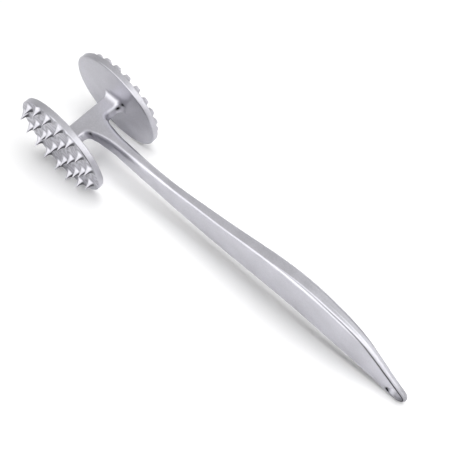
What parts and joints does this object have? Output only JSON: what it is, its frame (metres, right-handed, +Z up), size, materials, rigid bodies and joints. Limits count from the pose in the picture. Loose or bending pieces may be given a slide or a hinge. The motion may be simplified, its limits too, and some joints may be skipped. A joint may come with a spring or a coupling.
{
  "type": "meat mallet",
  "caption": "Satin cast aluminium meat mallet: a round spiked disc and a round toothed disc joined by a short bar, with a flat curved handle and a hang hole at its tip.",
  "frame": {"origin": "middle of the bounding box in X and Y, on the table it lies on", "axes": "+X along the head's axis from the spiked disc to the toothed disc, -Y along the handle to its tip, +Z up with the mallet lying on its disc rims and handle tip"},
  "size_m": [0.051, 0.2498, 0.06],
  "materials": {
    "cast_aluminium": "satin",
    "stud_steel": "machined"
  },
  "bodies": {
    "root": {"handle_casting": "cast_aluminium", "coarse_disc": "cast_aluminium", "fine_disc": "cast_aluminium", "coarse_disc_stud": "stud_steel", "fine_disc_stud": "stud_steel"}
  },
  "joints": []
}
